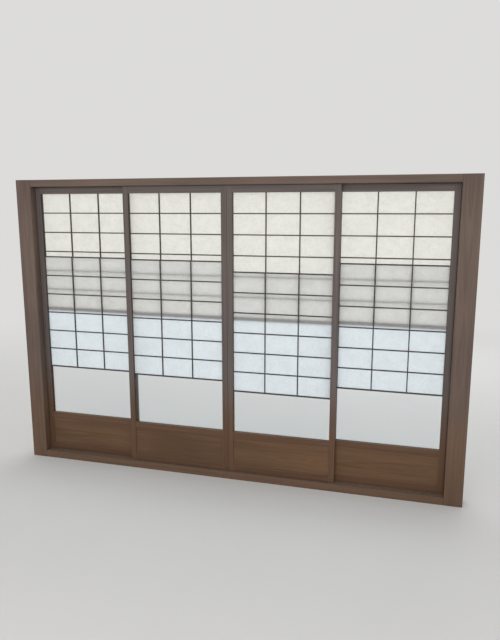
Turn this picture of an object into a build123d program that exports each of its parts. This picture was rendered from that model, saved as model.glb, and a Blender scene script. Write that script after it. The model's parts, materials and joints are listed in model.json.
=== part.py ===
from build123d import *
import os

# A four-leaf paper screen in its own timber frame. Two posts carry a grooved head and a grooved
# sill. The two middle leaves run in the track on the inner side and the two outer leaves in the
# track behind it, so each pair can pass.
# Every leaf is of the kind with a window: hip board at the foot, a clear pane above it, a fixed
# paper lattice at the top, and in front of both a light lift screen that slides up and down in
# grooves of the stiles and stays where it is put, because a flat spring presses it sideways.
#
# X runs along the opening, Y goes from the inner side (-Y) outwards and Z is up. The origin is under
# the sill, midway between the posts and midway through their depth. Lengths are in millimetres.

# Opening between the posts, and the frame round it.
opening_width = 2622.0
opening_height = 1783.0
post_width = 105.0
post_depth = 105.0
post_chamfer = 3.0
head_height = 43.0
head_depth = 97.0
sill_height = 45.0
sill_depth = 105.0
frame_chamfer = 1.5
stub_length = 30.0
stub_height = 18.0
stub_depth = 60.0

# Tracks. The tracks lie as far apart as a leaf is thick, plus the gap between passing leaves.
leaf_thickness = 30.0
leaf_gap = 3.0
groove_width = 21.0
head_groove_depth = 15.0
sill_groove_depth = 2.5

# How a leaf stands in the tracks. It can be lifted out, because it stands higher clear of the
# head's groove than the sill's groove is deep.
tongue_play = 0.5
tongue_reach = 9.0
head_gap = 4.0
sill_gap = 2.0
foot_gap = 0.3
side_gap = 1.0
meeting_gap = 1.0

# Frame of a leaf, from the foot up. The lattice takes what height is left.
stile_width = 35.0
arris = 1.0
bottom_rail_height = 45.0
hip_panel_height = 180.0
hip_rail_height = 36.0
window_height = 714.0
middle_rail_height = 22.0
top_rail_height = 41.0

# Tenons of a leaf's rails.
tenon_thickness = 9.0
middle_tenon_thickness = 5.0
tenon_margin = 7.0
tenon_end_wall = 10.0
tenon_play = 0.1
mortise_end_play = 1.0

# Panels that the leaf's frame holds. The hip board lies a little behind the rails' inner faces.
board_thickness = 6.0
board_setback = 3.0
board_seat = 6.0
board_play = 0.1
glass_thickness = 3.0
glass_seat = 5.0
glass_play = 0.25
groove_end_play = 1.0

# Lattices. Columns and rows are counted in openings, all alike, and the bars are halved into each
# other.
columns = 3
rows = 6
bar_face = 6.5
lattice_depth = 9.0
bar_shoulder = 1.0
bar_tenon = 5.0
lap_play = 0.05
paper_thickness = 0.2
paper_lap = 5.0
paper_rebate = 2.5
rebate_margin = 0.5

# Groove that the lift screen runs in, measured from the inner face of the leaf.
front_lip = 5.0
run_width = 12.0
run_depth = 11.0
run_play = 0.5
middle_rail_gap = 0.5

# Lift screen. The last two lines say how far it laps over the middle rail when it is down, and how
# far each leaf's screen is raised, from the left leaf to the right one.
screen_stile_width = 12.0
screen_rail_height = 7.5
screen_lattice_depth = 7.5
screen_rebate = 1.0
screen_paper_lap = 4.0
screen_tenon_length = 8.0
screen_tenon_thickness = 4.0
screen_tenon_margin = 2.0
screen_bar_tenon = 3.0
screen_glue_line = 0.05
screen_lap = 12.5
screen_lifts = (326.0, 323.0, 263.0, 326.0)

# Flat spring in the right-hand edge of each lift screen.
spring_length = 90.0
spring_width = 7.0
spring_thickness = 0.5
spring_recess = 3.0
spring_recess_margin = 2.0
spring_gap = 0.3

# Sizes that follow from the ones above.
track_pitch = leaf_thickness + leaf_gap
tongue_thickness = groove_width - 2 * tongue_play
leaf_width = (opening_width + 2 * stile_width - 2 * side_gap - meeting_gap) / 4
leaf_opening = leaf_width - 2 * stile_width
frame_height = sill_height + opening_height + head_height

leaf_foot = sill_height - sill_groove_depth + foot_gap
leaf_shoulder = sill_height + sill_gap
bottom_rail_top = leaf_shoulder + bottom_rail_height
hip_rail_bottom = bottom_rail_top + hip_panel_height
hip_rail_top = hip_rail_bottom + hip_rail_height
middle_rail_bottom = hip_rail_top + window_height
middle_rail_top = middle_rail_bottom + middle_rail_height
leaf_head = sill_height + opening_height - head_gap
top_rail_bottom = leaf_head - top_rail_height
leaf_top = sill_height + opening_height + tongue_reach

# Places through a leaf's thickness, from its middle plane. The inner side is negative.
inner_face = -leaf_thickness / 2
back_face = leaf_thickness / 2
rail_front = inner_face + arris
rail_back = back_face - arris
board_middle = rail_front + board_setback + board_thickness / 2
run = (inner_face + front_lip, inner_face + front_lip + run_width)
middle_rail_front = run[1] + middle_rail_gap
paper_plane = back_face - paper_rebate
lattice = (paper_plane - lattice_depth, paper_plane)
glass_middle = (middle_rail_front + rail_back) / 2

# The lift screen's own places.
screen = (run[0] + run_play, run[1] - run_play)
screen_half = leaf_opening / 2 + run_depth - run_play
screen_stile_edge = screen_half - screen_stile_width
screen_height = window_height + middle_rail_height + screen_lap
screen_paper_plane = screen[1] - screen_rebate
screen_lattice = (screen_paper_plane - screen_lattice_depth, screen_paper_plane)


def reach(start, length):
    """The pair of ends, lowest first, of a stretch that goes a length from a start."""
    return tuple(sorted((start, start + length)))


def about(middle, size):
    """The pair of ends of a stretch of a size about its middle."""
    return (middle - size / 2, middle + size / 2)


def widened(pair, by):
    """A stretch made longer at both ends."""
    return (pair[0] - by, pair[1] + by)


def lines(pair, count):
    """The middles of the bars that divide a stretch into a count of openings, all equally wide."""
    pitch = (pair[1] - pair[0] + bar_face) / count
    return [pair[0] + pitch * n - bar_face / 2 for n in range(1, count)]


def block(x, y, z, mode=Mode.ADD):
    """Adds to the piece in hand, or cuts from it, all that lies between pairs of X, Y and Z."""
    with BuildSketch(Plane.XY.offset(z[0])) as outline:
        with Locations(((x[0] + x[1]) / 2, (y[0] + y[1]) / 2)):
            Rectangle(x[1] - x[0], y[1] - y[0])
    extrude(outline.sketch, amount=z[1] - z[0], mode=mode)


def cut(x, y, z):
    """Cuts a square-cornered pocket, groove or rebate from the piece in hand."""
    block(x, y, z, Mode.SUBTRACT)


def across(x):
    """The plane at X that looks along the rails, with Y to its right and Z up."""
    return Plane((x, 0, 0), x_dir=(0, 1, 0), z_dir=(1, 0, 0))


def facing(y):
    """The plane at Y that faces the inner side, with X to its right and Z up."""
    return Plane((0, y, 0), x_dir=(1, 0, 0), z_dir=(0, -1, 0))


def save(piece, name):
    """Names a finished piece and writes it."""
    piece.label = name
    export_step(piece, f"parts/{name}.step")


# Frame: posts, head and sill.


def stub(bottom_of_wood, height_of_wood):
    """The heights between which a stub tenon lies, in the middle of the wood that it is cut from."""
    return about(bottom_of_wood + height_of_wood / 2, stub_height)


head_bottom = sill_height + opening_height
head_stub = stub(head_bottom + head_groove_depth, head_height - head_groove_depth)
sill_stub = stub(0, sill_height - sill_groove_depth)


def make_post(name, side):
    """A square post with eased edges, mortised for the stub tenons of the sill and the head."""
    jamb = side * opening_width / 2
    with BuildPart() as post:
        with BuildSketch() as section:
            with Locations((jamb + side * post_width / 2, 0)):
                Rectangle(post_width, post_depth)
            chamfer(section.vertices(), post_chamfer)
        extrude(amount=frame_height)
        for heights in (sill_stub, head_stub):
            mortise = reach(jamb, side * (stub_length + mortise_end_play))
            cut(mortise, about(0, stub_depth + 2 * tenon_play), widened(heights, tenon_play))
    save(post.part, name)


def make_track(name, bottom, height, depth, groove_depth, groove_side, stub_heights):
    """The head or the sill: a long board with two grooves and a stub tenon at each end."""
    with BuildPart() as track:
        with BuildSketch(across(-opening_width / 2)) as section:
            with Locations((0, bottom + height / 2)):
                Rectangle(depth, height)
            chamfer(section.vertices(), frame_chamfer)
            edge = bottom + height / 2 + groove_side * (height - groove_depth) / 2
            with Locations((-track_pitch / 2, edge), (track_pitch / 2, edge)):
                Rectangle(groove_width, groove_depth, mode=Mode.SUBTRACT)
        extrude(amount=opening_width)
        for side in (-1, 1):
            tenon = reach(side * opening_width / 2, side * stub_length)
            block(tenon, about(0, stub_depth), stub_heights)
    save(track.part, name)


# Leaf: stiles, rails, board, pane, lattice and paper. Each is drawn about the leaf's middle line.


def rail_tenon(bottom, top, front, back, thickness):
    """Where a rail's tenon lies: its depths and its heights."""
    return about((front + back) / 2, thickness), (bottom + tenon_margin, top - tenon_margin)


full_rail = (rail_front, rail_back, tenon_thickness)
set_back_rail = (middle_rail_front, rail_back, middle_tenon_thickness)
rail_tenons = {
    "bottom_rail": rail_tenon(leaf_shoulder, bottom_rail_top, *full_rail),
    "hip_rail": rail_tenon(hip_rail_bottom, hip_rail_top, *full_rail),
    "middle_rail": rail_tenon(middle_rail_bottom, middle_rail_top, *set_back_rail),
    "top_rail": rail_tenon(top_rail_bottom, leaf_head, *full_rail),
}
half_opening = leaf_opening / 2
rail_tenon_length = stile_width - tenon_end_wall
lattice_heights = (middle_rail_top, top_rail_bottom)
lattice_columns = lines((-half_opening, half_opening), columns)
lattice_rows = lines(lattice_heights, rows)


def bar_tenon_depths(depths):
    """The depths between which the tenon of a lattice bar lies."""
    return widened(depths, -bar_shoulder)


def bar_mortises(side_ranges, depths):
    """Cuts the mortises of a row of lattice bars, given the X and Z of each."""
    for x, z in side_ranges:
        cut(x, widened(bar_tenon_depths(depths), tenon_play), z)


def bar_socket(line):
    """The mortise across a bar's face, about the bar's middle line."""
    return about(line, bar_face - 2 * bar_shoulder + 2 * tenon_play)


def make_stile(side):
    """An upright of a leaf, with its mortises, its grooves and the tongues at head and foot."""
    inner = side * half_opening
    with BuildPart() as stile:
        with BuildSketch(Plane.XY.offset(leaf_foot)) as section:
            with Locations((inner + side * stile_width / 2, 0)):
                Rectangle(stile_width, leaf_thickness)
            chamfer(section.vertices(), arris)
        extrude(amount=leaf_top - leaf_foot)
        whole_width = widened(reach(inner, side * stile_width), arris)
        for face in (-1, 1):
            beyond = reach(face * tongue_thickness / 2, face * leaf_thickness)
            cut(whole_width, beyond, (leaf_head, leaf_top + arris))
            cut(whole_width, beyond, (leaf_foot - arris, leaf_shoulder))
        for depths, heights in rail_tenons.values():
            mortise = reach(inner, side * (rail_tenon_length + mortise_end_play))
            cut(mortise, widened(depths, tenon_play), widened(heights, tenon_play))
        board_groove = reach(inner, side * (board_seat + groove_end_play))
        board_heights = widened((bottom_rail_top, hip_rail_bottom), board_seat)
        board_depths = about(board_middle, board_thickness + 2 * board_play)
        cut(board_groove, board_depths, board_heights)
        glass_groove = reach(inner, side * (glass_seat + groove_end_play))
        glass_heights = widened((hip_rail_top, middle_rail_bottom), glass_seat)
        glass_depths = about(glass_middle, glass_thickness + 2 * glass_play)
        cut(glass_groove, glass_depths, glass_heights)
        cut(reach(inner, side * run_depth), run, (hip_rail_top, top_rail_bottom))
        rebate = reach(inner, side * (paper_lap + rebate_margin))
        rebate_heights = widened(lattice_heights, paper_lap + rebate_margin)
        cut(rebate, (paper_plane, back_face), rebate_heights)
        socket = reach(inner, side * (bar_tenon + mortise_end_play))
        bar_mortises([(socket, bar_socket(z)) for z in lattice_rows], lattice)
    return stile.part


def rail_body(section, front, back, bottom, top):
    """Draws a rail's section, its long edges eased."""
    with Locations(((front + back) / 2, (bottom + top) / 2)):
        Rectangle(back - front, top - bottom)
    chamfer(section.vertices(), arris)


def add_rail_tenons(name):
    """Adds a rail's tenon at each end."""
    depths, heights = rail_tenons[name]
    for side in (-1, 1):
        block(reach(side * half_opening, side * rail_tenon_length), depths, heights)


def panel_groove(thickness, play, middle, heights):
    """Cuts the groove that a rail holds the edge of a panel in."""
    cut((-half_opening, half_opening), about(middle, thickness + 2 * play), heights)


def make_bottom_rail():
    """The rail at the foot, which runs in the sill and holds the hip board's lower edge."""
    with BuildPart() as rail:
        with BuildSketch(across(-half_opening)) as section:
            rail_body(section, rail_front, rail_back, leaf_shoulder, bottom_rail_top)
            with Locations((0, (leaf_foot + leaf_shoulder + arris) / 2)):
                Rectangle(tongue_thickness, leaf_shoulder + arris - leaf_foot)
        extrude(amount=leaf_opening)
        seat = reach(bottom_rail_top, -board_seat - groove_end_play)
        panel_groove(board_thickness, board_play, board_middle, seat)
        add_rail_tenons("bottom_rail")
    return rail.part


def make_hip_rail():
    """The rail between the hip board and the pane, on which the lift screen comes down."""
    with BuildPart() as rail:
        with BuildSketch(across(-half_opening)) as section:
            rail_body(section, rail_front, rail_back, hip_rail_bottom, hip_rail_top)
        extrude(amount=leaf_opening)
        seat = reach(hip_rail_bottom, board_seat + groove_end_play)
        panel_groove(board_thickness, board_play, board_middle, seat)
        seat = reach(hip_rail_top, -glass_seat - groove_end_play)
        panel_groove(glass_thickness, glass_play, glass_middle, seat)
        add_rail_tenons("hip_rail")
    return rail.part


def make_middle_rail():
    """The thin rail above the pane, set back so that the lift screen passes in front of it."""
    with BuildPart() as rail:
        with BuildSketch(across(-half_opening)) as section:
            rail_body(section, middle_rail_front, rail_back, middle_rail_bottom, middle_rail_top)
        extrude(amount=leaf_opening)
        seat = reach(middle_rail_bottom, glass_seat + groove_end_play)
        panel_groove(glass_thickness, glass_play, glass_middle, seat)
        rebate = reach(middle_rail_top, -paper_lap - rebate_margin)
        cut((-half_opening, half_opening), (paper_plane, back_face), rebate)
        socket = reach(middle_rail_top, -bar_tenon - mortise_end_play)
        bar_mortises([(bar_socket(x), socket) for x in lattice_columns], lattice)
        add_rail_tenons("middle_rail")
    return rail.part


def make_top_rail():
    """The rail at the head, which runs in the head's groove and holds the lattice's upright bars."""
    with BuildPart() as rail:
        with BuildSketch(across(-half_opening)) as section:
            rail_body(section, rail_front, rail_back, top_rail_bottom, leaf_head)
            with Locations((0, (leaf_head - arris + leaf_top) / 2)):
                Rectangle(tongue_thickness, leaf_top - leaf_head + arris)
        extrude(amount=leaf_opening)
        rebate = reach(top_rail_bottom, paper_lap + rebate_margin)
        cut((-half_opening, half_opening), (paper_plane, back_face), rebate)
        socket = reach(top_rail_bottom, bar_tenon + mortise_end_play)
        bar_mortises([(bar_socket(x), socket) for x in lattice_columns], lattice)
        add_rail_tenons("top_rail")
    return rail.part


def make_sheet(x, z, back, thickness):
    """A flat panel between pairs of X and Z, with its outer face at a given depth."""
    with BuildPart() as sheet:
        with BuildSketch(facing(back)):
            with Locations(((x[0] + x[1]) / 2, (z[0] + z[1]) / 2)):
                Rectangle(x[1] - x[0], z[1] - z[0])
        extrude(amount=thickness)
    return sheet.part


# Lattice bars. Where bars cross, each gives up half its depth. The bar in front changes from one
# crossing to the next, so the finished lattice is woven and holds itself together.


def lap_depths(depths, in_front):
    """What a bar loses at a crossing: its back half where it passes in front, else its front half."""
    middle = (depths[0] + depths[1]) / 2
    if in_front:
        return (middle - lap_play, depths[1])
    return (depths[0], middle + lap_play)


def make_upright_bar(x, heights, depths, tenon, crossings):
    """One upright lattice bar, with its tenons and its halvings at the given heights."""
    with BuildPart() as bar:
        block(about(x, bar_face), depths, heights)
        tenon_face = about(x, bar_face - 2 * bar_shoulder)
        block(tenon_face, bar_tenon_depths(depths), widened(heights, tenon))
        for z, in_front in crossings:
            lap = about(z, bar_face + 2 * lap_play)
            cut(about(x, bar_face), lap_depths(depths, in_front), lap)
    return bar.part


def make_level_bar(z, span, depths, tenon, crossings):
    """One level lattice bar, with its tenons and its halvings at the given distances along it."""
    with BuildPart() as bar:
        block(span, depths, about(z, bar_face))
        tenon_face = about(z, bar_face - 2 * bar_shoulder)
        block(widened(span, tenon), bar_tenon_depths(depths), tenon_face)
        for x, in_front in crossings:
            lap = about(x, bar_face + 2 * lap_play)
            cut(lap, lap_depths(depths, in_front), about(z, bar_face))
    return bar.part


def make_lattice(span, heights, depths, tenon, row_lines):
    """The woven lattice between a frame's inner edges, as one group of separate bars."""
    bars = []
    for column, x in enumerate(lattice_columns):
        crossings = [(z, (column + row) % 2 == 0) for row, z in enumerate(row_lines)]
        bars.append(make_upright_bar(x, heights, depths, tenon, crossings))
    for row, z in enumerate(row_lines):
        crossings = [(x, (column + row) % 2 == 1) for column, x in enumerate(lattice_columns)]
        bars.append(make_level_bar(z, span, depths, tenon, crossings))
    with BuildPart() as woven:
        add(bars)
    return woven.part


# Lift screen. Its heights are measured from its own lower edge.

screen_opening = (screen_rail_height, screen_height - screen_rail_height)
screen_rows = lines(screen_opening, rows)
screen_tenon_depths = about((screen[0] + screen[1]) / 2, screen_tenon_thickness)
screen_rebate_width = screen_paper_lap + rebate_margin
spring_heights = about(screen_height / 2, spring_length + 2 * spring_recess_margin)
spring_depths = about((screen[0] + screen[1]) / 2, spring_width)


def screen_rail_heights():
    """The lower and the upper rail of a lift screen."""
    return (0, screen_rail_height), (screen_height - screen_rail_height, screen_height)


def make_screen_stile(side):
    """A stile of the lift screen. The right-hand one is recessed at its edge for the spring."""
    inner = side * screen_stile_edge
    with BuildPart() as stile:
        block(reach(inner, side * screen_stile_width), screen, (0, screen_height))
        for rail_heights in screen_rail_heights():
            mortise = reach(inner, side * (screen_tenon_length + mortise_end_play))
            heights = widened(rail_heights, tenon_play - screen_tenon_margin)
            cut(mortise, widened(screen_tenon_depths, tenon_play), heights)
        rebate = reach(inner, side * screen_rebate_width)
        cut(rebate, (screen_paper_plane, screen[1]), widened(screen_opening, screen_rebate_width))
        socket = reach(inner, side * (screen_bar_tenon + mortise_end_play))
        bar_mortises([(socket, bar_socket(z)) for z in screen_rows], screen_lattice)
        if side > 0:
            edge = reach(screen_half, -spring_recess)
            cut(edge, widened(spring_depths, tenon_play), spring_heights)
    return stile.part


def make_screen_rail(heights, opening_edge, inward):
    """A rail of the lift screen, rebated for the paper and mortised along its opening edge."""
    with BuildPart() as rail:
        shoulder = screen_stile_edge - screen_glue_line
        block((-shoulder, shoulder), screen, heights)
        tenon = widened(heights, -screen_tenon_margin)
        whole = screen_stile_edge + screen_tenon_length
        block((-whole, whole), screen_tenon_depths, tenon)
        rebate = reach(opening_edge, -inward * screen_rebate_width)
        cut((-screen_stile_edge, screen_stile_edge), (screen_paper_plane, screen[1]), rebate)
        socket = reach(opening_edge, -inward * (screen_bar_tenon + mortise_end_play))
        bar_mortises([(bar_socket(x), socket) for x in lattice_columns], screen_lattice)
    return rail.part


def make_screen_frame():
    """The four frame members of a lift screen, as one group of separate solids."""
    lower, upper = screen_rail_heights()
    members = [make_screen_stile(side) for side in (-1, 1)]
    members.append(make_screen_rail(lower, screen_opening[0], 1))
    members.append(make_screen_rail(upper, screen_opening[1], -1))
    with BuildPart() as frame:
        add(members)
    return frame.part


def make_spring():
    """A bowed flat spring. Its ends bear in the screen's recess and its crown on the groove."""
    foot = screen_half - spring_recess
    crown = screen_half + run_play - spring_gap - spring_thickness
    low, high = about(screen_height / 2, spring_length)
    middle = (low + high) / 2
    with BuildPart() as spring:
        with BuildSketch(facing(spring_depths[1])):
            with BuildLine():
                ThreePointArc((foot, low), (crown, middle), (foot, high))
                Line((foot, high), (foot + spring_thickness, high))
                outer_crown = (crown + spring_thickness, middle)
                ThreePointArc((foot + spring_thickness, high), outer_crown, (foot + spring_thickness, low))
                Line((foot + spring_thickness, low), (foot, low))
            make_face()
        extrude(amount=spring_width)
    return spring.part


def leaf_pieces():
    """Every piece of a leaf by name, drawn about the leaf's own middle line."""
    span = (-half_opening, half_opening)
    board_heights = widened((bottom_rail_top, hip_rail_bottom), board_seat)
    board_back = board_middle + board_thickness / 2
    glass_heights = widened((hip_rail_top, middle_rail_bottom), glass_seat)
    glass_back = glass_middle + glass_thickness / 2
    paper_heights = widened(lattice_heights, paper_lap)
    paper_back = paper_plane + paper_thickness
    return {
        "left_stile": make_stile(-1),
        "right_stile": make_stile(1),
        "bottom_rail": make_bottom_rail(),
        "hip_rail": make_hip_rail(),
        "middle_rail": make_middle_rail(),
        "top_rail": make_top_rail(),
        "hip_board": make_sheet(widened(span, board_seat), board_heights, board_back, board_thickness),
        "glass": make_sheet(widened(span, glass_seat), glass_heights, glass_back, glass_thickness),
        "lattice": make_lattice(span, lattice_heights, lattice, bar_tenon, lattice_rows),
        "paper": make_sheet(widened(span, paper_lap), paper_heights, paper_back, paper_thickness),
    }


def screen_pieces():
    """Every piece of a lift screen by name, drawn with its lower edge at no height."""
    span = (-screen_stile_edge, screen_stile_edge)
    paper_heights = widened(screen_opening, screen_paper_lap)
    paper_back = screen_paper_plane + paper_thickness
    return {
        "frame": make_screen_frame(),
        "lattice": make_lattice(span, screen_opening, screen_lattice, screen_bar_tenon, screen_rows),
        "paper": make_sheet(widened(span, screen_paper_lap), paper_heights, paper_back, paper_thickness),
        "spring": make_spring(),
    }


os.makedirs("parts", exist_ok=True)

make_post("left_post", -1)
make_post("right_post", 1)
make_track("head", head_bottom, head_height, head_depth, head_groove_depth, -1, head_stub)
make_track("sill", 0, sill_height, sill_depth, sill_groove_depth, 1, sill_stub)

# The four leaves are alike, and so are their lift screens, so each piece is made once and set four
# times. The outer leaves close against the posts in the track behind, and the inner leaves meet in
# the middle in the track before it.
outer_x = opening_width / 2 - side_gap - leaf_width / 2
inner_x = (meeting_gap + leaf_width) / 2
leaf_places = (
    (-outer_x, track_pitch / 2),
    (-inner_x, -track_pitch / 2),
    (inner_x, -track_pitch / 2),
    (outer_x, track_pitch / 2),
)
leaf = leaf_pieces()
lift_screen = screen_pieces()
for number, ((x, y), lift) in enumerate(zip(leaf_places, screen_lifts), start=1):
    for name, piece in leaf.items():
        save(piece.moved(Location((x, y, 0))), f"leaf_{number}_{name}")
    screen_foot = hip_rail_top + foot_gap + lift
    for name, piece in lift_screen.items():
        save(piece.moved(Location((x, y, screen_foot))), f"screen_{number}_{name}")
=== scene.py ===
# %% [markdown]
# # A four-leaf paper sliding screen, dressed for the camera
# The frame below holds every piece of the screen at its real size and place: two posts, a grooved
# head and sill, four sliding leaves, and the small lift screen that each leaf carries. What is left
# to do here is the finish. Nearly all of it is straight-grained timber that has darkened for
# decades, and thin fibrous paper that is lit from behind. Both could be painted on pictures, but a
# picture blurs when it is seen close up and repeats when it is seen from afar. So each finish is
# worked out from the place of a point on the piece, in metres, and it stays on the piece when a
# leaf slides.

import json
import math

import bmesh
import bpy
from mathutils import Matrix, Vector

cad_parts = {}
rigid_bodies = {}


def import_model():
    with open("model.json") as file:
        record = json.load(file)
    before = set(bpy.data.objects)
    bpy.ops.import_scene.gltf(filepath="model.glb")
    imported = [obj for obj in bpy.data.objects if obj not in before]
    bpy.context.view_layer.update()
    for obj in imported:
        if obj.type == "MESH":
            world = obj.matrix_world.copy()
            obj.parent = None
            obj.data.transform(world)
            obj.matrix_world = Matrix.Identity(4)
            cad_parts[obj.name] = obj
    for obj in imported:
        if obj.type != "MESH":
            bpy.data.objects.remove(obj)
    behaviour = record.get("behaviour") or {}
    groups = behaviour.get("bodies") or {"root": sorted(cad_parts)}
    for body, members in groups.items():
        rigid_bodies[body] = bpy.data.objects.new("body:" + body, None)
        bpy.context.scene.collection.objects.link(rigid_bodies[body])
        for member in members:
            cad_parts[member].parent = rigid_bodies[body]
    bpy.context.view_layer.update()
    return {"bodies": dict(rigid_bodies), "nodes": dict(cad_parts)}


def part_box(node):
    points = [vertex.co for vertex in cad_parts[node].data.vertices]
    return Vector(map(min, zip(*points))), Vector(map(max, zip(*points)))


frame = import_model()
nodes = frame["nodes"]

# %% [markdown]
# ## Where the camera stands
# The photograph was taken from about a metre to the right of the screen's middle, three and a half
# metres away and at eye height. The same standing point is kept here. The camera is turned so that
# the whole screen is in the picture, from one post to the other, which changes the framing but not
# what hides what. The lens is given as a focal length on a 36 mm sensor, whose long side is upright
# in a picture of 500 by 640.

# %% Camera
eye = Vector((1.108, -3.483, 1.688))
turn_left = math.radians(15.6)
look_down = math.radians(10.4)
focal_length = 34.0

camera = bpy.data.objects.new("camera", bpy.data.cameras.new("camera"))
camera.data.lens = focal_length
camera.location = eye
camera.rotation_euler = (math.pi / 2 - look_down, 0, turn_left)
bpy.context.collection.objects.link(camera)
bpy.context.scene.camera = camera
print("camera at", tuple(round(value, 3) for value in eye), "with a lens of", focal_length, "mm")

# %% [markdown]
# ## Writing shader nodes briefly
# A finish is a small program of nodes. Written with Blender's own calls, each node takes four or
# five lines, and the recipe is lost among them. The helper below takes a node's settings and its
# inputs together. An input is a plain value, or the output of another node, which is then linked.

# %% A recipe of shader nodes
NodeSocket = bpy.types.NodeSocket

# A Mix node has sockets of its own for each kind of value. These are the numbers of those used.
mix_factor = 0
vector_inputs, vector_output = (4, 5), 1
colour_inputs, colour_output = (6, 7), 2


class Recipe:
    """A node tree that is being written. Most calls add one node and give back its main output."""

    def __init__(self, tree):
        self.tree = tree

    def node(self, kind, inputs=None, **settings):
        """Adds a node with its settings, and its inputs by name or number. Gives back the node."""
        made = self.tree.nodes.new("ShaderNode" + kind)
        for name, value in settings.items():
            setattr(made, name, value)
        for key, value in (inputs or {}).items():
            if isinstance(value, NodeSocket):
                self.tree.links.new(value, made.inputs[key])
            else:
                made.inputs[key].default_value = value
        return made

    def end(self, made, socket):
        """Ends a recipe: joins a node's first output to a socket."""
        self.tree.links.new(made.outputs[0], socket)

    def group(self, name, inputs):
        """Places a shared group, and gives back all of its outputs."""
        return self.node("Group", inputs, node_tree=bpy.data.node_groups[name]).outputs

    def place(self):
        """Where a point lies on its piece, in metres."""
        return self.node("TexCoord").outputs["Object"]

    def math(self, operation, first, second=0.0):
        """A sum, product or other function of two numbers."""
        return self.node("Math", {0: first, 1: second}, operation=operation).outputs[0]

    def vector(self, operation, first, second=(0.0, 0.0, 0.0)):
        """The same for two vectors."""
        return self.node("VectorMath", {0: first, 1: second}, operation=operation).outputs[0]

    def stretch(self, vector, scale):
        """A vector with each of its parts made larger or smaller."""
        return self.vector("MULTIPLY", vector, scale)

    def length(self, vector):
        """How long a vector is."""
        return self.node("VectorMath", {0: vector}, operation="LENGTH").outputs["Value"]

    def combine(self, **parts):
        """A vector from some of its parts X, Y and Z. The others are zero."""
        return self.node("CombineXYZ", parts).outputs[0]

    def part(self, vector, name):
        """The part X, Y or Z of a vector."""
        return self.node("SeparateXYZ", {0: vector}).outputs[name]

    def remap(self, value, low, high, to_low=0.0, to_high=1.0, kind="LINEAR"):
        """Carries one range of numbers over to another, and holds it at its ends."""
        taken = {"Value": value, "From Min": low, "From Max": high}
        given_back = {"To Min": to_low, "To Max": to_high}
        return self.node("MapRange", {**taken, **given_back}, interpolation_type=kind).outputs[0]

    def noise(self, vector, scale=1.0, detail=2.0, roughness=0.5, distortion=0.0):
        """Soft random clouds. The scale counts clouds for each metre."""
        inputs = {
            "Vector": vector,
            "Scale": scale,
            "Detail": detail,
            "Roughness": roughness,
            "Distortion": distortion,
        }
        return self.node("TexNoise", inputs).outputs[0]

    def swing(self, vector, scale=1.0, detail=2.0):
        """Soft random clouds that swing about zero, to move something to and fro."""
        return self.math("SUBTRACT", self.noise(vector, scale, detail), 0.5)

    def mix(self, factor, first, second, blend="MIX"):
        """One colour laid over another."""
        inputs = dict(zip((mix_factor, *colour_inputs), (factor, first, second)))
        made = self.node("Mix", inputs, data_type="RGBA", blend_type=blend)
        return made.outputs[colour_output]

    def choose(self, factor, first, second):
        """A vector between two vectors."""
        inputs = dict(zip((mix_factor, *vector_inputs), (factor, first, second)))
        return self.node("Mix", inputs, data_type="VECTOR").outputs[vector_output]

    def bump(self, strength, distance, height):
        """A normal that follows a height, in metres at its strongest."""
        inputs = {"Strength": strength, "Distance": distance, "Height": height}
        return self.node("Bump", inputs).outputs[0]

    def mix_shader(self, share, first, second):
        """A share of the second shader, and the rest of the first. Gives back the node."""
        return self.node("MixShader", {0: share, 1: first.outputs[0], 2: second.outputs[0]})


# %% Groups, materials and colours
def new_group(name, inputs, outputs):
    """Starts a shared group. Gives back its recipe, its inputs, and a call that sets an output."""
    tree = bpy.data.node_groups.new(name, "ShaderNodeTree")
    for label, kind, start in inputs:
        socket = tree.interface.new_socket(label, in_out="INPUT", socket_type="NodeSocket" + kind)
        if start is not None:
            socket.default_value = start
    for label in outputs:
        tree.interface.new_socket(label, in_out="OUTPUT", socket_type="NodeSocketFloat")
    recipe = Recipe(tree)
    entry = tree.nodes.new("NodeGroupInput")
    leave = tree.nodes.new("NodeGroupOutput")

    def give(label, value):
        tree.links.new(value, leave.inputs[label])

    print("group", name, "gives", ", ".join(outputs))
    return recipe, entry.outputs, give


def new_material(name):
    """Starts an empty material. Gives back the material, its recipe, and the socket of its end."""
    material = bpy.data.materials.new(name)
    material.use_nodes = True
    material.node_tree.nodes.clear()
    recipe = Recipe(material.node_tree)
    return material, recipe, recipe.node("OutputMaterial").inputs["Surface"]


def colour(red, green, blue):
    """An opaque colour."""
    return (red, green, blue, 1.0)


# Noise runs from 0 to 1, but nearly all of it lies between these two.
most_noise = (0.3, 0.7)

# %% [markdown]
# ## Floor and backdrop
# The screen stands on a plain pale floor, in front of nothing. A floor that ends shows a hard line
# behind the screen, and a curved backdrop would stand in the light that has to come from behind.
# So the floor is a flat disc that thins out towards its rim, where it fades into the world's
# colour. The world has two sides. What it shows to the camera, through the panes and in
# reflections, is the backdrop's grey, and what it sends as light is white.

# %% Floor
floor_radius = 7.0
rim_points = 96
fade_from, fade_to = 1.6, 6.5
floor_colour = colour(0.60, 0.595, 0.585)
mottle_colour = colour(0.4, 0.4, 0.4)
mottle_share = 0.04

floor_mesh = bpy.data.meshes.new("floor")
floor = bpy.data.objects.new("floor", floor_mesh)
bpy.context.collection.objects.link(floor)

disc = bmesh.new()
bmesh.ops.create_circle(disc, cap_ends=True, radius=floor_radius, segments=rim_points)
disc.to_mesh(floor_mesh)
disc.free()

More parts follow.
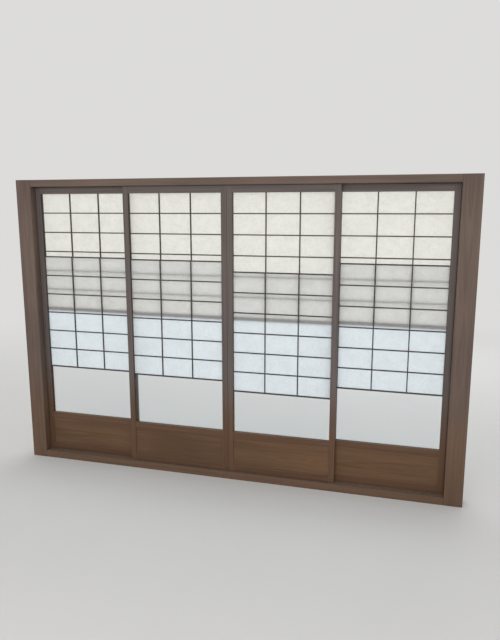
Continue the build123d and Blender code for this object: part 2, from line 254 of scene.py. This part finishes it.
floor_material, recipe, surface = new_material("floor")
place = recipe.place()
mottle = recipe.remap(recipe.noise(place, scale=1.3, detail=4.0), *most_noise, 0.0, mottle_share)
pale = recipe.mix(mottle, floor_colour, mottle_colour)
matt_inputs = {"Base Color": pale, "Roughness": 0.9, "Specular IOR Level": 0.2}
matt = recipe.node("BsdfPrincipled", matt_inputs)
clear = recipe.node("BsdfTransparent")
fade = recipe.remap(recipe.length(place), fade_from, fade_to, kind="SMOOTHSTEP")
recipe.end(recipe.mix_shader(fade, matt, clear), surface)
floor_mesh.materials.append(floor_material)
print("floor radius", floor_radius, "m, fading from", fade_from, "to", fade_to)

# %% World
backdrop_colour = colour(0.72, 0.715, 0.705)
world_colour = colour(1.0, 1.0, 1.0)
world_strength = 0.8

world = bpy.data.worlds.new("studio")
bpy.context.scene.world = world
world.use_nodes = True
world.node_tree.nodes.clear()
recipe = Recipe(world.node_tree)
path = recipe.node("LightPath").outputs
seen = recipe.math("MAXIMUM", path["Is Camera Ray"], path["Is Transmission Ray"])
seen = recipe.math("MAXIMUM", seen, path["Is Glossy Ray"])
light = recipe.node("Background", {"Color": world_colour, "Strength": world_strength})
shown = recipe.node("Background", {"Color": backdrop_colour, "Strength": 1.0})
world_end = recipe.node("OutputWorld").inputs["Surface"]
recipe.end(recipe.mix_shader(seen, light, shown), world_end)
print("world strength", world_strength)

# %% [markdown]
# ## Light
# The light is soft and even, at a level that shows a colour about as it is written. The world gives
# most of it. A large lamp in front, not much above the head, lights the timber without hiding the
# top rails in the head's shadow. A lamp of the same kind behind the screen makes the paper glow, so
# that the bars stand dark before it. One lamp overhead would be simpler, but it would leave the
# paper flat and draw the head's shadow across it. Neither lamp is seen by the camera.


# %% Lamps
def lamp(name, place, aim, size, power, tint):
    """A large soft lamp that shines from a place to an aim and isn't seen itself."""
    data = bpy.data.lights.new(name, "AREA")
    data.shape = "RECTANGLE"
    data.size, data.size_y = size
    data.energy = power
    data.color = tint
    made = bpy.data.objects.new(name, data)
    made.location = place
    made.rotation_euler = (Vector(aim) - Vector(place)).to_track_quat("-Z", "Y").to_euler()
    made.visible_camera = False
    made.visible_transmission = False
    made.visible_glossy = False
    bpy.context.collection.objects.link(made)
    print("lamp", name, power, "W")


lamp(
    "front_lamp",
    place=(0.3, -5.0, 2.4),
    aim=(0.0, 0.0, 0.95),
    size=(4.0, 2.4),
    power=115.0,
    tint=(1.0, 0.985, 0.965),
)
lamp(
    "back_lamp",
    place=(0.3, 4.4, 2.6),
    aim=(0.0, 0.0, 1.0),
    size=(5.0, 3.0),
    power=92.0,
    tint=(0.98, 0.99, 1.0),
)

# %% [markdown]
# ## Timber
# The frame and the leaves are planed softwood, cut so that the grain runs the length of each piece.
# A tree is a stack of rings round its heart, and a sawn face only shows where it meets them. So the
# figure isn't drawn on each face. The rings are worked out in space round a heart line, and the
# faces cut through them. Far from the heart they show as straight lines, as on the stiles, and near
# it as the pointed arches of a hip board, and on end grain as the rings themselves.
#
# Rings of one width look like a comb, so good and poor years move them apart and make some darker.
# Three scales lie over each other: the rings, bands of several rings that are lighter or darker
# together, and fibres about a millimetre wide. From a few metres away only the bands are seen, and
# close up the rings and fibres carry the surface. The group measures in metres, with Z along the
# grain. Each row of three clouds below says how many there are in a metre, twice across the grain
# and then along it.

# %% Shared group: timber figure, the rings
sway_clouds = (3.0, 3.0, 0.8)
ripple_clouds = (24.0, 24.0, 2.4)
sway_over_ripple = 6.0
years_astray = 4.0
darkens_between = (0.35, 0.9)
ring_ends = 0.92
palest_year = 0.3

recipe, given, give = new_group(
    "timber figure",
    [
        ("Vector", "Vector", None),
        ("Cut", "Vector", (0.0, 0.0, 0.0)),
        ("Ring Width", "Float", 0.003),
        ("Waver", "Float", 0.004),
    ],
    ["Rings", "Bands", "Fibres", "Height"],
)
moved = recipe.vector("ADD", given["Vector"], given["Cut"])
sway = recipe.swing(recipe.stretch(moved, sway_clouds))
ripple = recipe.swing(recipe.stretch(moved, ripple_clouds))
strayed = recipe.math("ADD", recipe.math("MULTIPLY", sway, sway_over_ripple), ripple)
from_heart = recipe.length(recipe.stretch(given["Vector"], (1.0, 1.0, 0.0)))
radius = recipe.math("ADD", from_heart, recipe.math("MULTIPLY", strayed, given["Waver"]))
even = recipe.math("DIVIDE", radius, given["Ring Width"])
year = recipe.combine(X=even)
good_years = recipe.math("MULTIPLY", recipe.swing(year, scale=0.3), years_astray)
ring = recipe.math("ADD", even, good_years)
part_of_ring = recipe.math("FRACT", ring)
darkening = recipe.remap(part_of_ring, *darkens_between, kind="SMOOTHSTEP")
new_ring = recipe.remap(part_of_ring, ring_ends, 1.0, 1.0, 0.0)
late_wood = recipe.math("MULTIPLY", darkening, new_ring)
dark_years = recipe.noise(year, scale=0.9, detail=1.0)
dark_years = recipe.remap(dark_years, *most_noise, palest_year, 1.0)
late_wood = recipe.math("MULTIPLY", late_wood, dark_years)
give("Rings", late_wood)

# %% Shared group: timber figure, the bands and fibres
band_step = 0.16  # how far each ring moves on through the clouds that make the bands
fibre_clouds = (800.0, 800.0, 11.0)
streak_clouds = (140.0, 140.0, 2.0)
most_of_both = (0.75, 1.25)
rings_in_relief = 0.6

across = recipe.math("MULTIPLY", ring, band_step)
band_place = recipe.combine(X=across, Z=recipe.part(moved, "Z"))
give("Bands", recipe.remap(recipe.noise(band_place, scale=1.3, detail=2.0), *most_noise))
fibres = recipe.noise(recipe.stretch(moved, fibre_clouds), detail=2.0, roughness=0.6)
streaks = recipe.noise(recipe.stretch(moved, streak_clouds), detail=3.0, roughness=0.6)
fine = recipe.remap(recipe.math("ADD", fibres, streaks), *most_of_both)
give("Fibres", fine)
give("Height", recipe.math("ADD", recipe.math("MULTIPLY", late_wood, rings_in_relief), fine))
print("fibres in a metre:", fibre_clouds[0], "across and", fibre_clouds[2], "along")

# %% [markdown]
# ## What years of use do, with painted shade and highlights
# Every arris has been rubbed a little paler by hands and cloths, and is painted paler still as
# a highlight. Corners keep the dirt that a broom doesn't reach, and are painted darker as shade
# too. Dust lies on whatever faces up. All three can be found from the shape itself.
# An ambient occlusion node that looks into the piece finds its edges, and one that looks out finds
# its corners. Measuring curvature on the mesh would be quicker, but the faces here are large and
# flat, with no points between the edges to carry a curvature.

# %% Shared group: years of use, with painted shade and highlights
# Each look around sends out this many rays. What it gives back is 1 on an open face and less near
# an edge or in a corner, so the first two ranges run downwards.
rays = 6
edge_between = (0.85, 0.45)
corner_between = (0.75, 0.2)
corner_reach = 0.03
wear_breaks = (0.38, 0.62)
grime_and_shade_patches = (0.45, 1.0)
faces_up = (0.7, 0.95)
dust_patches = (0.3, 0.75)

recipe, given, give = new_group(
    "years of use and painted light",
    [("Vector", "Vector", None), ("Edge Reach", "Float", 0.003)],
    ["Worn And Lit Edges", "Grime And Shade", "Dust"],
)
# The arrises found here are laid on paler, as rubbed wear and as a painted highlight.
looking_in = {"Distance": given["Edge Reach"]}
inward = recipe.node("AmbientOcclusion", looking_in, inside=True, only_local=True, samples=rays)
edge = recipe.remap(inward.outputs["AO"], *edge_between)
broken = recipe.remap(recipe.noise(given["Vector"], scale=70.0, detail=4.0), *wear_breaks)
give("Worn And Lit Edges", recipe.math("MULTIPLY", edge, broken))

# The corners found here are laid on darker, as dirt and as painted shade.
looking_out = {"Distance": corner_reach}
outward = recipe.node("AmbientOcclusion", looking_out, samples=rays)
corner = recipe.remap(outward.outputs["AO"], *corner_between)
blotch = recipe.noise(given["Vector"], scale=14.0, detail=4.0)
blotch = recipe.remap(blotch, *most_noise, *grime_and_shade_patches)
give("Grime And Shade", recipe.math("MULTIPLY", corner, blotch))

facing_up = recipe.part(recipe.node("NewGeometry").outputs["Normal"], "Z")
level = recipe.remap(facing_up, *faces_up)
patchy = recipe.noise(given["Vector"], scale=45.0, detail=5.0, roughness=0.6)
give("Dust", recipe.math("MULTIPLY", level, recipe.remap(patchy, *dust_patches)))

# %% [markdown]
# ## One recipe for all the timber
# The frame, the leaves, the hip boards and the bars differ only in their colours, in how their
# grain runs and in how they were sawn. One function lays the two groups over each other for all of
# them. Each piece also has its own chance number, which takes its figure from another part of the
# tree and makes it a shade lighter or darker than its neighbour, as in any joiner's pile.
#
# The colour is laid on in this order: first the rings, then how much lighter or darker the wood
# is from place to place, then a painted glare that makes the upper part paler and greyer, and last
# the dirt with painted shade in the corners, the rubbed edges with a painted highlight, and dust.

# %% Timber colour
dust_colour = colour(0.30, 0.28, 0.25)
# This colour darkens the corners, as dirt and as painted shade.
grime_and_shade_colour = colour(0.035, 0.028, 0.024)
# A painted glare: higher up, the colour is multiplied towards this paler, greyer tint.
glare_tint = colour(1.08, 1.78, 3.1)
glare_between = (0.25, 0.75)
band_tones = (0.84, 1.14)
piece_tones = (0.94, 1.06)
fibre_tones = (0.9, 1.1)
patch_tones = (0.92, 1.08)


def timber_tone(recipe, place, figure, chance):
    """How much lighter or darker the wood is: by band, by piece, by fibre and in wide patches."""
    tone = recipe.remap(figure["Bands"], 0.0, 1.0, *band_tones)
    tone = recipe.math("MULTIPLY", tone, recipe.remap(chance, 0.0, 1.0, *piece_tones))
    tone = recipe.math("MULTIPLY", tone, recipe.remap(figure["Fibres"], 0.0, 1.0, *fibre_tones))
    patches = recipe.noise(place, scale=1.7, detail=3.0)
    return recipe.math("MULTIPLY", tone, recipe.remap(patches, *most_noise, *patch_tones))


def timber_colour(recipe, place, figure, wear_and_light, tone, wood):
    """A wood's colour: painted glare, dirt and painted shade, wear and painted highlight, dust."""
    ringed = recipe.math("MULTIPLY", figure["Rings"], wood["contrast"])
    ringed = recipe.mix(ringed, wood["early"], wood["late"])
    toned = {0: ringed, "Scale": tone}
    base = recipe.node("VectorMath", toned, operation="SCALE").outputs[0]
    height = recipe.part(place, "Z")
    # Painted glare: the higher a point stands, the paler and greyer its colour.
    glare_share = recipe.remap(height, *glare_between, 0.0, wood["glare"], kind="SMOOTHSTEP")
    base = recipe.mix(glare_share, base, recipe.mix(1.0, base, glare_tint, blend="MULTIPLY"))
    # Dirt and painted shade in the corners.
    base = recipe.mix(recipe.math("MULTIPLY", wear_and_light["Grime And Shade"], wood["grime_and_shade"]), base, grime_and_shade_colour)
    # Rubbed edges, paler with wear and with a painted highlight.
    base = recipe.mix(recipe.math("MULTIPLY", wear_and_light["Worn And Lit Edges"], wood["wear_and_highlight"]), base, wood["worn_and_lit"])
    return recipe.mix(recipe.math("MULTIPLY", wear_and_light["Dust"], wood["dust"]), base, dust_colour)


tone_ranges = (band_tones, piece_tones, fibre_tones, patch_tones)
print("darkest and lightest tone:", [round(math.prod(ends), 2) for ends in zip(*tone_ranges)])

# %% Timber sheen, and the whole recipe
fibre_roughness = 0.07
dust_roughness = 0.25
rubbed_smoother = 0.12
relief_strength, relief = 0.35, 0.0004
cut_shift = (41.0, 67.0, 93.0)  # metres by which chance moves a piece's figure through the tree


def timber_roughness(recipe, figure, wear_and_light, wood):
    """Fibres are duller and smoother by turns, dust is dull, and rubbed edges shine a little."""
    smoothest, roughest = wood["roughness"] - fibre_roughness, wood["roughness"] + fibre_roughness
    rough = recipe.remap(figure["Fibres"], 0.0, 1.0, smoothest, roughest)
    rough = recipe.math("ADD", rough, recipe.math("MULTIPLY", wear_and_light["Dust"], dust_roughness))
    rubbed = recipe.math("MULTIPLY", wear_and_light["Worn And Lit Edges"], rubbed_smoother)
    return recipe.math("SUBTRACT", rough, rubbed)


def finish_timber(recipe, surface, place, grain_place, wood):
    """Lays the figure, the wear and the sheen of a kind of wood on a material."""
    chance = recipe.node("ObjectInfo").outputs["Random"]
    cut = recipe.stretch(recipe.combine(X=chance, Y=chance, Z=chance), cut_shift)
    sawn = {"Ring Width": wood["ring_width"], "Waver": wood["waver"]}
    figure = recipe.group("timber figure", {"Vector": grain_place, "Cut": cut, **sawn})
    wear_and_light = recipe.group("years of use and painted light", {"Vector": place, "Edge Reach": wood["edge_reach"]})
    tone = timber_tone(recipe, place, figure, chance)
    inputs = {
        "Base Color": timber_colour(recipe, place, figure, wear_and_light, tone, wood),
        "Roughness": timber_roughness(recipe, figure, wear_and_light, wood),
        "Normal": recipe.bump(relief_strength, relief, figure["Height"]),
        "Specular IOR Level": wood["specular"],
    }
    recipe.end(recipe.node("BsdfPrincipled", inputs), surface)


print("timber relief of", relief * 1000, "mm")

# %% [markdown]
# ## Four kinds of one wood
# The frame is thick squared timber with clear rings. The leaves are of slower-grown wood whose
# rings are narrower, and carry the most painted glare, paler and greyer higher up. A hip
# board is sawn near the heart, so its rings are wide and stray far. The bars are thin and darker
# than the rest. Each kind is a plain table of values. The leaves' table starts from the frame's,
# and the boards' and the bars' from the leaves', so that each one only says what differs. Ring
# width, waver and edge reach are in metres, and the values below them are shares of the whole.

# %% Kinds of wood
# Besides the grain, each kind sets its rubbed edges, which carry a painted highlight, its dirt in
# corners, which carries painted shade, and how much painted glare pales it higher up.
frame_kind = {
    "early": colour(0.124, 0.074, 0.047),
    "late": colour(0.080, 0.046, 0.029),
    "worn_and_lit": colour(0.20, 0.14, 0.10),
    "ring_width": 0.0034,
    "waver": 0.006,
    "edge_reach": 0.004,
    "contrast": 0.8,
    "wear_and_highlight": 0.45,
    "grime_and_shade": 0.35,
    "dust": 0.3,
    "glare": 0.25,
    "roughness": 0.52,
    "specular": 0.3,
}
leaf_kind = {
    **frame_kind,
    "early": colour(0.110, 0.058, 0.032),
    "late": colour(0.068, 0.034, 0.018),
    "worn_and_lit": colour(0.18, 0.115, 0.078),
    "ring_width": 0.0022,
    "waver": 0.0035,
    "edge_reach": 0.0025,
    "glare": 0.85,
}
board_kind = {
    **leaf_kind,
    "early": colour(0.114, 0.062, 0.032),
    "late": colour(0.074, 0.038, 0.020),
    "ring_width": 0.0056,
    "waver": 0.013,
    "contrast": 0.5,
    "roughness": 0.5,
}
bar_kind = {
    **leaf_kind,
    "early": colour(0.062, 0.048, 0.038),
    "late": colour(0.040, 0.030, 0.024),
    "worn_and_lit": colour(0.13, 0.10, 0.08),
    "ring_width": 0.0016,
    "waver": 0.002,
    "edge_reach": 0.0012,
    "wear_and_highlight": 0.3,
    "dust": 0.4,
    "glare": 0.12,
    "roughness": 0.6,
}
print("narrowest and widest rings:", bar_kind["ring_width"], "and", board_kind["ring_width"], "m")

# %% [markdown]
# ## Where each piece was in its tree
# A post is squared from a small trunk, so its heart lies inside it, a little off the middle. The
# head and the sill are sawn from larger trunks, with the heart about half a metre off. For the
# stiles and rails the heart is put so far out that the rings pass as straight lines, further than
# in any real trunk. The hip boards have theirs close behind them. A heart runs along Z in the
# group, so a piece whose grain lies level is turned a quarter about Y first.

# %% Timber materials
grain_upright = (0.0, 0.0, 0.0)
grain_level = (0.0, math.pi / 2, 0.0)
far_heart = 4.0


def middle(name):
    """The middle of a piece."""
    low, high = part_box(name)
    return (low + high) / 2


def timber(name, wood, grain, heart):
    """A material for pieces whose grain runs one way, round a heart line through a point."""
    material, recipe, surface = new_material(name)
    place = recipe.place()
    turning = {"Vector": place, "Location": heart, "Rotation": grain}
    grain_place = recipe.node("Mapping", turning, vector_type="TEXTURE").outputs[0]
    finish_timber(recipe, surface, place, grain_place, wood)
    print("timber", name, "with its heart at", tuple(round(value, 3) for value in heart))
    return material


left_heart = middle("left_post") + Vector((0.012, 0.016, 0))
right_heart = middle("right_post") + Vector((-0.01, 0.02, 0))
head_heart = middle("head") + Vector((0, 0.1, 0.5))
sill_heart = middle("sill") + Vector((0, 0.2, -0.6))
board_heart = (0, 0.075, 0.165)

left_post = timber("left_post_timber", frame_kind, grain_upright, left_heart)
right_post = timber("right_post_timber", frame_kind, grain_upright, right_heart)
head_timber = timber("head_timber", frame_kind, grain_level, head_heart)
sill_timber = timber("sill_timber", frame_kind, grain_level, sill_heart)
stile_timber = timber("stile_timber", leaf_kind, grain_upright, (-far_heart, 0.3, 0))
rail_timber = timber("rail_timber", leaf_kind, grain_level, (0, 0.3, -far_heart))
board_timber = timber("board_timber", board_kind, grain_level, board_heart)

# %% [markdown]
# ## Bars, which cross
# A lattice is woven from upright and level bars, and all the bars of one lattice are one piece
# here. Their grain has to follow each bar, so the material asks where a point lies. Within half a
# bar of one of the column lines, or out on the lift screen's own stiles, it is upright wood, and
# elsewhere it is level wood. The column lines are counted from the middle of the leaf, so each leaf
# has its own material. Their spacing is worked out from the lattice's box, the width of a bar's
# face, the length of its tenon and the number of columns.

# %% Where the bars stand
bar_face = 0.0065
bar_tenon = 0.005
columns = 3
screen_stile_width = 0.012

lattice_low, lattice_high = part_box("leaf_1_lattice")
opening = lattice_high.x - lattice_low.x - 2 * bar_tenon
column_pitch = (opening + bar_face) / columns
screen_low, screen_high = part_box("screen_1_frame")
screen_stile_inner = (screen_high.x - screen_low.x) / 2 - screen_stile_width
print("columns every", round(column_pitch, 4), "screen stiles from", round(screen_stile_inner, 4))

# %% Bar materials
leaf_names = [name for name in frame["bodies"] if name.startswith("leaf")]
half_pitch = column_pitch / 2


def bar_timber(leaf):
    """The material of a leaf's two lattices and of its lift screen's frame."""
    material, recipe, surface = new_material(f"{leaf}_bar_timber")
    place = recipe.place()
    leaf_middle = middle(f"{leaf}_lattice").x
    sideways = recipe.math("SUBTRACT", recipe.part(place, "X"), leaf_middle)
    shifted = recipe.math("ADD", sideways, half_pitch)
    from_column = recipe.math("PINGPONG", shifted, half_pitch)
    on_column = recipe.math("LESS_THAN", from_column, bar_face / 2)
    on_stile = recipe.math("GREATER_THAN", recipe.math("ABSOLUTE", sideways), screen_stile_inner)
    upright = recipe.math("MAXIMUM", on_column, on_stile)
    turned = {"Vector": place, "Location": (0, 0.2, -far_heart), "Rotation": grain_level}
    along_level = recipe.node("Mapping", turned, vector_type="TEXTURE").outputs[0]
    standing = {"Vector": place, "Location": (-far_heart, 0.2, 0)}
    along_upright = recipe.node("Mapping", standing, vector_type="TEXTURE").outputs[0]
    grain_place = recipe.choose(upright, along_level, along_upright)
    finish_timber(recipe, surface, place, grain_place, bar_kind)
    print("bars of", leaf, "about", round(leaf_middle, 3))
    return material


bar_timbers = {leaf: bar_timber(leaf) for leaf in leaf_names}

# %% [markdown]
# ## Paper
# The paper is made of long bast fibres that lie every way, thinner here and thicker there. In light
# from the front it is nearly plain white. In light from behind the thick places are darker, like
# faint clouds, and single fibres show as fine curls. So the fibres are worked out once, and colour
# both what the sheet sends back and what it lets through.
#
# A thread is where a stretched cloud passes its middle value, and four such patterns, each turned
# another way, cross to make the felt.

# %% Shared group: paper fibres
strand_turns = (0.2, 0.95, 1.75, 2.6)
strand_clouds = (26.0, 26.0, 420.0)
strand_width = 0.03
sparse_between = (0.32, 0.72)
curl = (0.014, 0.014, 0.014)
strands_in_relief = 0.4

recipe, given, give = new_group(
    "paper fibres", [("Vector", "Vector", None)], ["Clouds", "Fibres", "Height"]
)
wandering = {"Vector": given["Vector"], "Scale": 22.0, "Detail": 1.0}
wander = recipe.node("TexNoise", wandering).outputs["Color"]
curled = recipe.vector("ADD", given["Vector"], recipe.stretch(wander, curl))
strands = None
for turn in strand_turns:
    turned = {"Vector": curled, "Rotation": (0.0, turn, 0.0)}
    turned = recipe.node("Mapping", turned).outputs[0]
    thread = recipe.swing(recipe.stretch(turned, strand_clouds), detail=0.0)
    thread = recipe.remap(recipe.math("ABSOLUTE", thread), strand_width, 0.0)
    strands = thread if strands is None else recipe.math("MAXIMUM", strands, thread)
sparse = recipe.remap(recipe.noise(given["Vector"], scale=60.0, detail=1.0), *sparse_between)
strands = recipe.math("MULTIPLY", strands, sparse)
clouds = recipe.noise(given["Vector"], scale=24.0, detail=4.0, roughness=0.5)
give("Clouds", recipe.remap(clouds, *most_noise))
give("Fibres", strands)
tooth = recipe.noise(given["Vector"], scale=160.0)
raised = recipe.math("MULTIPLY", strands, strands_in_relief)
give("Height", recipe.math("ADD", raised, tooth))

# %% [markdown]
# ## One sheet, and two behind each other
# Where a lift screen is raised, light has to pass its paper and the fixed one, and the pair is
# greyer than a single sheet. The bars between the two cast blurred shadows on the nearer one. Both
# could be painted in, but would then stay behind when a screen is moved. With a translucent shader
# they come about by themselves. Each face of a sheet sends most of the light on and the rest back,
# and the share was tried out until the shadows came close to those in the photograph.

# %% Paper material
paper_share_through = 0.85
cloud_shade, fibre_shade, fibre_stain = 0.075, 0.24, 0.2
felt_strength, felt_relief = 0.3, 0.0003
thick_colour = colour(0.35, 0.31, 0.26)
fibre_colour = colour(0.6, 0.56, 0.48)


def paper(name, sent_back, let_through):
    """Thin paper: part of the light is sent back, part comes through, and each face does both."""
    material, recipe, surface = new_material(name)
    fibres = recipe.group("paper fibres", {"Vector": recipe.place()})
    thick = recipe.math("MULTIPLY", fibres["Clouds"], cloud_shade)
    thick = recipe.math("ADD", thick, recipe.math("MULTIPLY", fibres["Fibres"], fibre_shade))
    stained = recipe.math("MULTIPLY", fibres["Fibres"], fibre_stain)
    front_inputs = {
        "Base Color": recipe.mix(stained, sent_back, fibre_colour),
        "Roughness": 0.78,
        "Normal": recipe.bump(felt_strength, felt_relief, fibres["Height"]),
        "Specular IOR Level": 0.25,
    }
    front = recipe.node("BsdfPrincipled", front_inputs)
    through = recipe.mix(thick, let_through, thick_colour)
    glow = recipe.node("BsdfTranslucent", {"Color": through})
    recipe.end(recipe.mix_shader(paper_share_through, front, glow), surface)
    print("paper", name)
    return material


fixed_paper = paper(
    "fixed_paper",
    sent_back=colour(0.86, 0.86, 0.83),
    let_through=colour(0.93, 0.93, 0.9),
)
lift_paper = paper(
    "lift_paper",
    sent_back=colour(0.87, 0.87, 0.87),
    # The cool tint of the light that this paper lets through is painted sky light.
    let_through=colour(0.95, 0.96, 0.97),
)

# %% [markdown]
# ## Glass
# The pane is clear, a little blue in its thickness, with the faint film that a cloth leaves. Light
# that falls through it isn't followed as light through glass, because a renderer finds too few such
# paths: for shadows and soft light the pane is simply tinted and see-through.

# %% Glass material
film_clouds = (5.0, 5.0, 9.0)
film_between = (0.4, 0.75)
glass_colour = colour(0.955, 0.99, 1.0)
shadow_tint = colour(0.925, 0.975, 1.0)
cleanest, dullest = 0.015, 0.09

pane_glass, recipe, surface = new_material("pane_glass")
film = recipe.noise(recipe.stretch(recipe.place(), film_clouds), detail=4.0, distortion=0.8)
glass_inputs = {
    "Base Color": glass_colour,
    "Roughness": recipe.remap(film, *film_between, cleanest, dullest),
    "IOR": 1.5,
    "Transmission Weight": 1.0,
}
glass = recipe.node("BsdfPrincipled", glass_inputs)
tinted = recipe.node("BsdfTransparent", {"Color": shadow_tint})
path = recipe.node("LightPath").outputs
soft = recipe.math("MAXIMUM", path["Is Shadow Ray"], path["Is Diffuse Ray"])
recipe.end(recipe.mix_shader(soft, glass, tinted), surface)
print("glass with a film of roughness", cleanest, "to", dullest)

# %% [markdown]
# ## Spring steel
# The flat spring that holds a lift screen in its groove is blank rolled steel. It hides between the
# screen and the stile, so it only has to be right when a screen is taken out and held close: fine
# scratches along the strip from rolling, and a few brown spots of tarnish.

# %% Steel material
scratch_clouds = (2500.0, 2500.0, 60.0)
bright_steel = colour(0.56, 0.56, 0.55)
brown_spots = colour(0.30, 0.26, 0.22)
spots_between = (0.5, 0.75)
scratched = (0.25, 0.42)
scratch_strength, scratch_depth = 0.2, 0.00005

spring_steel, recipe, surface = new_material("spring_steel")
place = recipe.place()
scratch = recipe.noise(recipe.stretch(place, scratch_clouds), detail=2.0)
dull = recipe.remap(recipe.noise(place, scale=120.0, detail=3.0), *spots_between)
steel_inputs = {
    "Base Color": recipe.mix(dull, bright_steel, brown_spots),
    "Metallic": 1.0,
    "Roughness": recipe.remap(scratch, *most_noise, *scratched),
    "Normal": recipe.bump(scratch_strength, scratch_depth, scratch),
}
recipe.end(recipe.node("BsdfPrincipled", steel_inputs), surface)
print("steel with a roughness from", scratched[0], "to", scratched[1])

# %% [markdown]
# ## Every piece gets its finish
# The names of the pieces say what they are, so the finish is chosen by the end of the name. A piece
# that matches nothing would stay bare, and the last line would name it.

# %% Dress the pieces
finishes = {
    "_left_stile": stile_timber,
    "_right_stile": stile_timber,
    "_rail": rail_timber,
    "_hip_board": board_timber,
    "_glass": pane_glass,
    "_spring": spring_steel,
    "left_post": left_post,
    "right_post": right_post,
    "head": head_timber,
    "sill": sill_timber,
}


def finish_for(name):
    """The material that a piece's name asks for."""
    if name.endswith("_paper"):
        return lift_paper if name.startswith("screen") else fixed_paper
    if name.endswith(("_lattice", "_frame")):
        return bar_timbers["leaf_" + name.split("_")[1]]
    for ending, material in finishes.items():
        if name.endswith(ending):
            return material
    return None


for name, piece in nodes.items():
    material = finish_for(name)
    if material:
        piece.material_slots[0].material = material
bare = [name for name in nodes if finish_for(name) is None]
print("dressed", len(nodes) - len(bare), "pieces, bare:", bare)

# %% [markdown]
# ## Colour as written
# The view transform is the plain one, so a colour on screen is the colour written above times the
# light on it.

# %% Finish
bpy.context.scene.view_settings.view_transform = "Standard"
